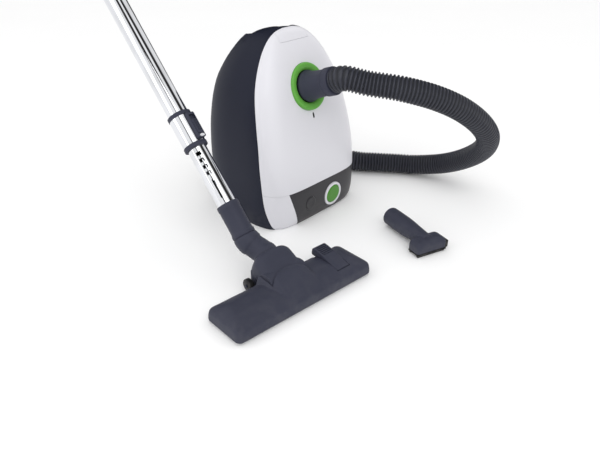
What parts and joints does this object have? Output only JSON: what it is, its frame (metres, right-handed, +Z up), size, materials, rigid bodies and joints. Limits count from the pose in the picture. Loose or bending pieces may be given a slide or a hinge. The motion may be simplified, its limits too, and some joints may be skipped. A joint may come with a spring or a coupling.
{
  "type": "canister vacuum cleaner",
  "caption": "Upright-parked canister vacuum cleaner with hinged lid, corrugated hose, telescopic wand, floor head and a small hand tool.",
  "frame": {"origin": "on the flat end face that the body stands on, under the middle of the body", "axes": "+Z up; the lid and the hose inlet face -Y; +X is to the right of someone facing the lid"},
  "size_m": [0.8969, 0.8675, 0.5393],
  "materials": {
    "lid_white": "satin",
    "casing_navy": "satin",
    "slate_plastic": "satin",
    "panel_charcoal": "satin",
    "ring_green": "satin",
    "button_green": "satin",
    "chrome": "polished",
    "black_plastic": "satin",
    "hose_dark": "satin",
    "rubber": "matte",
    "bag_paper": "matte",
    "filter_foam": "matte",
    "smoked_window": "gloss",
    "bristle": "matte",
    "steel": "brushed"
  },
  "bodies": {
    "canister": {"base_shell": "casing_navy", "rear_cover": "lid_white", "control_panel": "panel_charcoal", "button_ring": "lid_white", "bulkhead": "black_plastic", "filter_frame": "slate_plastic", "motor_filter": "filter_foam", "motor_housing": "slate_plastic", "motor_mount": "rubber", "motor_seal": "rubber", "reel_spindle": "black_plastic", "bag_holder": "slate_plastic", "bag_collar": "bag_paper", "dust_bag": "bag_paper", "exhaust_filter": "filter_foam", "exhaust_grille": "casing_navy", "cord_outlet": "rubber", "wheel_axle_left": "steel", "wheel_axle_right": "steel", "hose": "hose_dark", "grip_cuff": "hose_dark"},
    "lid": {"lid": "lid_white", "inlet_ring": "ring_green", "inlet_seal": "rubber", "bag_indicator": "smoked_window"},
    "latch": {"lid_latch": "lid_white"},
    "inlet_cuff": {"inlet_cuff": "hose_dark"},
    "power_button": {"power_button": "button_green"},
    "rewind_button": {"rewind_button": "panel_charcoal"},
    "wheel_left": {"wheel_left": "black_plastic"},
    "wheel_right": {"wheel_right": "black_plastic"},
    "caster": {"caster_fork": "black_plastic"},
    "caster_wheel": {"caster_wheel": "black_plastic"},
    "impeller": {"impeller": "steel"},
    "cord_reel": {"cord_reel": "slate_plastic"},
    "grip": {"grip": "slate_plastic"},
    "air_slider": {"air_slider": "hose_dark"},
    "floor_head": {"head_shell": "slate_plastic", "sole_plate": "steel"},
    "brush_strip": {"brush_strip": "bristle"},
    "pedal": {"pedal": "slate_plastic"},
    "neck": {"neck": "slate_plastic"},
    "head_wheel_left": {"head_wheel_left": "black_plastic"},
    "head_wheel_right": {"head_wheel_right": "black_plastic"},
    "lower_wand": {"elbow": "slate_plastic", "pipe_socket": "slate_plastic", "inner_tube": "chrome"},
    "upper_wand": {"outer_tube": "chrome", "lock_collar": "chrome", "tube_end_ring": "slate_plastic"},
    "lock_slider": {"lock_slider": "hose_dark"},
    "hand_tool": {"tool_body": "slate_plastic"},
    "tool_brush": {"tool_brush": "bristle"}
  },
  "joints": [
    {"name": "lid_hinge", "type": "hinge", "parent": "canister", "child": "lid", "pos_m": [0, -0.12935, 0.07052], "axis": [1, 0, 0], "range_deg": [0, 72], "deforming": ["hose"]},
    {"name": "latch_hinge", "type": "hinge", "parent": "lid", "child": "latch", "pos_m": [0, -0.05993, 0.31624], "axis": [1, 0, 0], "range_deg": [0, 14], "stiffness_Nm_per_rad": 0.05},
    {"name": "cuff_swivel", "type": "hinge", "parent": "lid", "child": "inlet_cuff", "pos_m": [0, -0.09212, 0.241], "axis": [0, -0.9397, 0.342], "continuous": true},
    {"name": "power_press", "type": "slide", "parent": "canister", "child": "power_button", "axis": [0, 0.9981, 0.0615], "range_m": [0, 0.002], "stiffness_N_per_m": 400},
    {"name": "rewind_press", "type": "slide", "parent": "canister", "child": "rewind_button", "axis": [0, 0.999, 0.0439], "range_m": [0, 0.0015], "stiffness_N_per_m": 400},
    {"name": "wheel_left_spin", "type": "hinge", "parent": "canister", "child": "wheel_left", "pos_m": [-0.079, 0.064, 0.052], "axis": [1, 0, 0], "continuous": true},
    {"name": "wheel_right_spin", "type": "hinge", "parent": "canister", "child": "wheel_right", "pos_m": [0.079, 0.064, 0.052], "axis": [1, 0, 0], "continuous": true},
    {"name": "caster_swivel", "type": "hinge", "parent": "canister", "child": "caster", "pos_m": [0, 0.058, 0.25293], "axis": [0, 1, 0], "continuous": true},
    {"name": "caster_wheel_spin", "type": "hinge", "parent": "caster", "child": "caster_wheel", "pos_m": [0, 0.0805, 0.25293], "axis": [1, 0, 0], "continuous": true},
    {"name": "impeller_spin", "type": "hinge", "parent": "canister", "child": "impeller", "pos_m": [-0.05199, -0.02503, 0.07], "axis": [0, 0, 1], "continuous": true},
    {"name": "reel_spin", "type": "hinge", "parent": "canister", "child": "cord_reel", "pos_m": [0.05199, -0.02503, 0.03], "axis": [0, 0, 1], "continuous": true},
    {"name": "grip_swivel", "type": "hinge", "parent": "canister", "child": "grip", "pos_m": [0.43361, 0.32782, 0.025], "axis": [0.7369, 0.676, 0], "range_deg": [0, 90]},
    {"name": "air_slide", "type": "slide", "parent": "grip", "child": "air_slider", "axis": [0.7369, 0.676, 0], "range_m": [0, 0.011]},
    {"name": "floor_head_lift", "type": "slide", "parent": "canister", "child": "floor_head", "axis": [0, 0, 1], "range_m": [0, 0.25]},
    {"name": "pedal_rock", "type": "hinge", "parent": "floor_head", "child": "pedal", "pos_m": [-0.14313, -0.26907, 0.027], "axis": [-0.995, 0.1004, 0], "range_deg": [0, 13]},
    {"name": "brush_raise", "type": "slide", "parent": "floor_head", "child": "brush_strip", "axis": [0, 0, 1], "range_m": [0, 0.004]},
    {"name": "neck_tilt", "type": "hinge", "parent": "floor_head", "child": "neck", "pos_m": [-0.22629, -0.24661, 0.0245], "axis": [0.995, -0.1004, 0], "range_deg": [0, 30]},
    {"name": "head_wheel_left_spin", "type": "hinge", "parent": "neck", "child": "head_wheel_left", "pos_m": [-0.26516, -0.20852, 0.0113], "axis": [0.995, -0.1004, 0], "continuous": true},
    {"name": "head_wheel_right_spin", "type": "hinge", "parent": "neck", "child": "head_wheel_right", "pos_m": [-0.18059, -0.21705, 0.0113], "axis": [0.995, -0.1004, 0], "continuous": true},
    {"name": "wand_swivel", "type": "hinge", "parent": "neck", "child": "lower_wand", "pos_m": [-0.22239, -0.20789, 0.04278], "axis": [0.0908, 0.9006, 0.4251], "range_deg": [-45, 45]},
    {"name": "wand_telescope", "type": "slide", "parent": "lower_wand", "child": "upper_wand", "axis": [0.032, 0.687, 0.7259], "range_m": [-0.085, 0.24]},
    {"name": "lock_slide", "type": "slide", "parent": "upper_wand", "child": "lock_slider", "axis": [0.032, 0.687, 0.7259], "range_m": [0, 0.008], "stiffness_N_per_m": 200},
    {"name": "hand_tool_lift", "type": "slide", "parent": "canister", "child": "hand_tool", "axis": [0, 0, 1], "range_m": [0, 0.05]},
    {"name": "tool_brush_slide", "type": "slide", "parent": "hand_tool", "child": "tool_brush", "axis": [-0.3404, -0.9403, 0], "range_m": [0, 0.03]}
  ],
  "couplings": [
    {"joint": "brush_raise", "follows": "pedal_rock", "m_per_rad": 0.017629}
  ]
}
